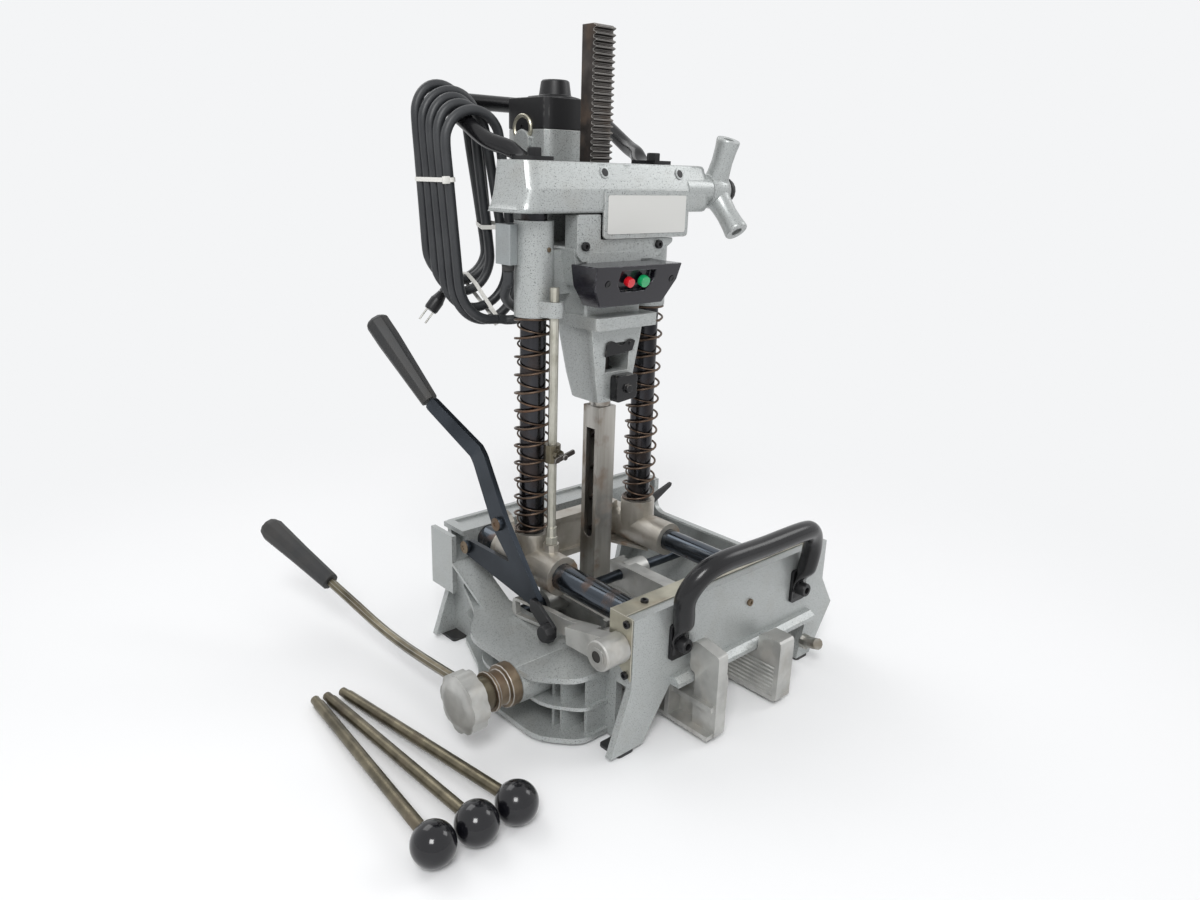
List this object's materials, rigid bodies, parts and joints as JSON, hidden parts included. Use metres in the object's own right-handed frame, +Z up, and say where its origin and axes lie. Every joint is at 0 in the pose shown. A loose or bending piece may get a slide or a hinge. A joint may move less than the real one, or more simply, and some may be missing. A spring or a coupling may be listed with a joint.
{
  "type": "benchtop mortiser",
  "caption": "Benchtop chisel mortiser: cast base with vise, sliding carriage on two bars, sprung motor head on two columns, rack and hub.",
  "frame": {"origin": "on the standing surface, under the middle of the machine and its loose rods, cord not counted", "axes": "+X right along the front wall, +Y to the rear along the bars, +Z up along the columns"},
  "size_m": [0.5912, 0.5474, 0.703],
  "materials": {
    "grey_paint": "satin",
    "black_paint": "gloss",
    "dark_steel": "oiled",
    "bright_steel": "satin",
    "spring_steel": "oiled",
    "zinc": "satin",
    "aluminium": "cast",
    "raw_casting": "cast",
    "brass_bush": "satin",
    "black_plastic": "matte",
    "rubber": "matte",
    "red_plastic": "gloss",
    "green_plastic": "gloss"
  },
  "bodies": {
    "base": {"base_casting": "grey_paint", "cover_strip": "zinc", "left_bar": "dark_steel", "right_bar": "dark_steel", "front_carry_handle": "black_paint", "foot_front_left": "rubber", "foot_front_right": "rubber", "foot_rear_left": "rubber", "foot_rear_right": "rubber", "screw_bush": "brass_bush", "right_jaw": "aluminium", "leg_stub_rod": "bright_steel", "jaw_guide_rod": "dark_steel", "hub_rod_1": "zinc", "hub_rod_2": "zinc", "hub_rod_3": "zinc"},
    "carriage": {"carriage_casting": "raw_casting", "left_column": "dark_steel", "right_column": "dark_steel", "left_outer_spring": "spring_steel", "left_inner_spring": "spring_steel", "right_outer_spring": "spring_steel", "right_inner_spring": "spring_steel", "depth_rod": "bright_steel", "crosshead": "grey_paint", "rear_carry_handle": "black_paint", "cord_coil": "rubber", "plug": "black_plastic"},
    "head": {"head_casting": "grey_paint", "chisel_holder": "grey_paint", "switch_box": "black_plastic", "clamp_block": "black_paint", "chisel": "bright_steel", "rack": "dark_steel", "motor_housing": "grey_paint", "motor_cap": "black_plastic", "terminal_box": "grey_paint", "cord_gland": "rubber", "cord_lead": "rubber"},
    "feed_lever": {"feed_lever": "dark_steel", "feed_lever_grip": "black_plastic"},
    "lever_catch": {"lever_catch": "black_plastic"},
    "slotted_arm": {"slotted_arm": "aluminium"},
    "lock_lever": {"lock_lever": "black_paint"},
    "stop_collar": {"stop_collar": "zinc"},
    "wing_screw": {"wing_screw": "dark_steel"},
    "hub": {"hub": "grey_paint", "pinion_shaft": "dark_steel", "hub_cap": "black_plastic"},
    "spindle": {"auger_bit": "dark_steel"},
    "shutter": {"shutter": "black_paint"},
    "stop_button": {"stop_button": "red_plastic"},
    "start_button": {"start_button": "green_plastic"},
    "left_jaw": {"left_jaw": "aluminium"},
    "clamp_screw": {"clamp_screw": "bright_steel", "clamp_knob": "aluminium"},
    "clamp_lever": {"clamp_lever": "zinc", "clamp_lever_grip": "black_plastic"}
  },
  "joints": [
    {"name": "carriage_slide", "type": "slide", "parent": "base", "child": "carriage", "axis": [0, 1, 0], "range_m": [-0.098, 0.014]},
    {"name": "head_plunge", "type": "slide", "parent": "carriage", "child": "head", "axis": [0, 0, 1], "range_m": [-0.12, 0], "stiffness_N_per_m": 420, "springref_m": 0.34, "deforming": ["left_outer_spring", "left_inner_spring", "right_outer_spring", "right_inner_spring"]},
    {"name": "feed_lever_swing", "type": "hinge", "parent": "carriage", "child": "feed_lever", "pos_m": [-0.05739, -0.02501, 0.1886], "axis": [1, 0, 0], "range_deg": [-8, 55]},
    {"name": "lever_catch_turn", "type": "hinge", "parent": "feed_lever", "child": "lever_catch", "pos_m": [-0.06069, -0.09301, 0.1166], "axis": [1, 0, 0], "range_deg": [-166, 24]},
    {"name": "slotted_arm_swing", "type": "hinge", "parent": "base", "child": "slotted_arm", "pos_m": [-0.07939, -0.21151, 0.116], "axis": [1, 0, 0], "range_deg": [0, 8]},
    {"name": "lock_lever_turn", "type": "hinge", "parent": "carriage", "child": "lock_lever", "pos_m": [0.17071, -0.00851, 0.146], "axis": [1, 0, 0], "range_deg": [-30, 45]},
    {"name": "stop_collar_slide", "type": "slide", "parent": "carriage", "child": "stop_collar", "axis": [0, 0, 1], "range_m": [-0.06, 0]},
    {"name": "wing_screw_turn", "type": "hinge", "parent": "stop_collar", "child": "wing_screw", "pos_m": [-0.01339, -0.07181, 0.27], "axis": [0, 1, 0], "range_deg": [-180, 180]},
    {"name": "hub_turn", "type": "hinge", "parent": "carriage", "child": "hub", "pos_m": [0.23361, -0.04751, 0.543], "axis": [1, 0, 0], "range_deg": [-573, 0]},
    {"name": "spindle_spin", "type": "hinge", "parent": "head", "child": "spindle", "pos_m": [0.06661, -0.04451, 0.3], "axis": [0, 0, 1], "continuous": true},
    {"name": "shutter_swing", "type": "hinge", "parent": "head", "child": "shutter", "pos_m": [0.08261, -0.07181, 0.382], "axis": [0, 1, 0], "range_deg": [-30, 15]},
    {"name": "stop_button_press", "type": "slide", "parent": "head", "child": "stop_button", "axis": [0, 1, 0], "range_m": [0, 0.002], "stiffness_N_per_m": 300, "springref_m": -0.001},
    {"name": "start_button_press", "type": "slide", "parent": "head", "child": "start_button", "axis": [0, 1, 0], "range_m": [0, 0.002], "stiffness_N_per_m": 300, "springref_m": -0.001},
    {"name": "clamp_screw_turn", "type": "hinge", "parent": "base", "child": "clamp_screw", "pos_m": [-0.17979, -0.12451, 0.061], "axis": [1, 0, 0], "range_deg": [-360.05, 2880.05]},
    {"name": "left_jaw_slide", "type": "slide", "parent": "base", "child": "left_jaw", "axis": [1, 0, 0], "range_m": [-0.005, 0.04]},
    {"name": "clamp_lever_swing", "type": "hinge", "parent": "base", "child": "clamp_lever", "pos_m": [-0.15339, -0.12451, 0.061], "axis": [1, 0, 0], "range_deg": [-6, 90]}
  ],
  "couplings": [
    {"joint": "feed_lever_swing", "follows": "carriage_slide", "rad_per_m": -9.7656},
    {"joint": "lever_catch_turn", "follows": "carriage_slide", "rad_per_m": 29.5},
    {"joint": "hub_turn", "follows": "head_plunge", "rad_per_m": 83.333},
    {"joint": "clamp_screw_turn", "follows": "left_jaw_slide", "rad_per_m": 1256.6}
  ]
}
